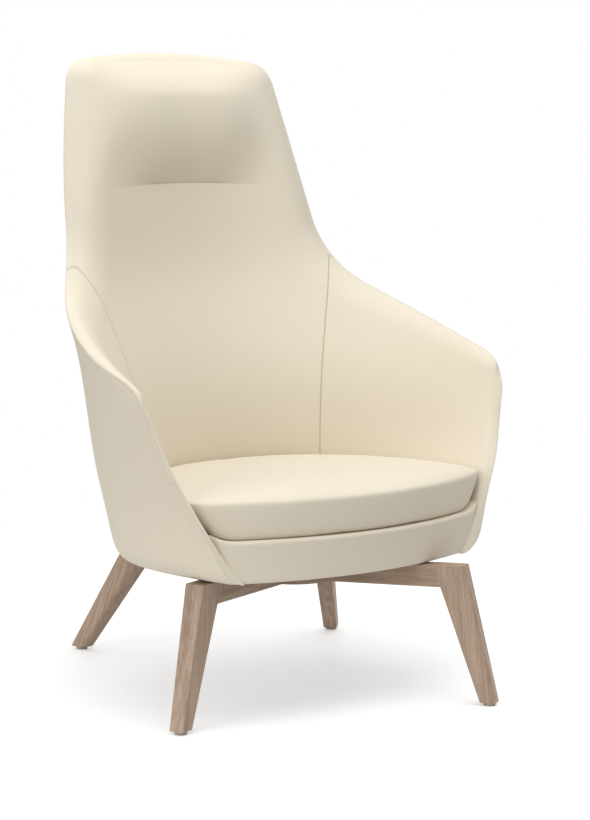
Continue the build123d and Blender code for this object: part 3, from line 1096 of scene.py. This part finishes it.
# %% [markdown]
# ## Studio
#
# A pale floor that runs into a white background, a broad lamp overhead and a weaker one at the left
# give the even light of a catalogue picture.

# %% Floor, light and camera


def seen_directly(wire):
    """1 for rays that show a background: from the camera, or by way of gloss or glass."""
    seen = wire.node("LightPath", {}, {}, "Is Camera Ray")
    for kind in ("Is Glossy Ray", "Is Transmission Ray"):
        seen = wire.math("MAXIMUM", seen, wire.node("LightPath", {}, {}, kind))
    return seen


def floor_finish():
    material, wire = new_finish("studio_floor")
    seen = seen_directly(wire)
    place = wire.node("TexCoord", {}, {}, "Object")
    grain = wire.noise(place, 3.0, 2.0)
    tone = wire.blend(grain, (0.83, 0.83, 0.83, 1), (0.85, 0.85, 0.85, 1))
    plain = wire.node("BsdfPrincipled", {}, {"Base Color": tone, "Roughness": 0.6})
    glow = wire.node("Emission", {}, {"Color": (1, 1, 1, 1), "Strength": 0.34 * seen})
    lit = wire.node("AddShader", {}, {0: plain, 1: glow})
    white = wire.node("Emission", {}, {"Color": (1, 1, 1, 1), "Strength": seen})
    away = wire.node("VectorMath", {"operation": "LENGTH"}, {0: place}, "Value")
    put_out(wire, wire.node("MixShader", {}, {0: wire.ramp(away, 0.75, 1.9), 1: lit, 2: white}))
    return material


def studio_floor():
    data = bpy.data.meshes.new("studio_floor")
    edge = 30.0
    corners = [(-edge, -edge, 0), (edge, -edge, 0), (edge, edge, 0), (-edge, edge, 0)]
    data.from_pydata(corners, [], [(0, 1, 2, 3)])
    data.materials.append(floor_finish())
    floor = bpy.data.objects.new("studio_floor", data)
    bpy.context.scene.collection.objects.link(floor)


def lamp(name, place, target, size, power, colour):
    data = bpy.data.lights.new(name, "AREA")
    data.color = colour
    data.shape = "DISK"
    data.size = size
    data.energy = power
    light = bpy.data.objects.new(name, data)
    light.location = place
    light.rotation_euler = (Vector(target) - Vector(place)).to_track_quat("-Z", "Y").to_euler()
    bpy.context.scene.collection.objects.link(light)


def sky():
    world = bpy.data.worlds.new("studio")
    world.use_nodes = True
    world.node_tree.nodes.clear()
    wire = Wire(world.node_tree)
    strength = 0.6 + 0.4 * seen_directly(wire)
    glow = wire.node("Background", {}, {"Color": (1, 1, 1, 1), "Strength": strength})
    end = world.node_tree.nodes.new("ShaderNodeOutputWorld")
    world.node_tree.links.new(glow.socket, end.inputs["Surface"])
    bpy.context.scene.world = world


studio_floor()
sky()
lamp("overhead", (0.0, -0.7, 3.4), (0, 0, 0.5), 3.0, 60, (0.96, 1.0, 1.0))
lamp("left", (-3.8, -0.9, 1.5), (0, 0, 0.6), 2.4, 50, (1, 1, 1))

picture_high = 820
focal_pixels = 2425
sensor = 36
aim = Vector((0, -0.128, 0.55))
distance = 4.461
turn = math.radians(37.63)
tilt = math.radians(6.64)
ahead = Vector((math.sin(turn) * math.cos(tilt), math.cos(turn) * math.cos(tilt), -math.sin(tilt)))
right = Vector((math.cos(turn), -math.sin(turn), 0))
above = right.cross(ahead)
camera_data = bpy.data.cameras.new("camera")
camera_data.sensor_width = sensor
camera_data.lens = sensor * focal_pixels / picture_high
camera_data.shift_x = 0.8 / picture_high
camera_data.shift_y = -11.4 / picture_high
camera = bpy.data.objects.new("camera", camera_data)
basis = Matrix((right, above, -ahead)).transposed()
camera.matrix_world = Matrix.Translation(aim - ahead * distance) @ basis.to_4x4()
bpy.context.scene.collection.objects.link(camera)
bpy.context.scene.camera = camera
bpy.context.scene.view_settings.view_transform = "Standard"
print("camera at", [round(value, 3) for value in camera.location])
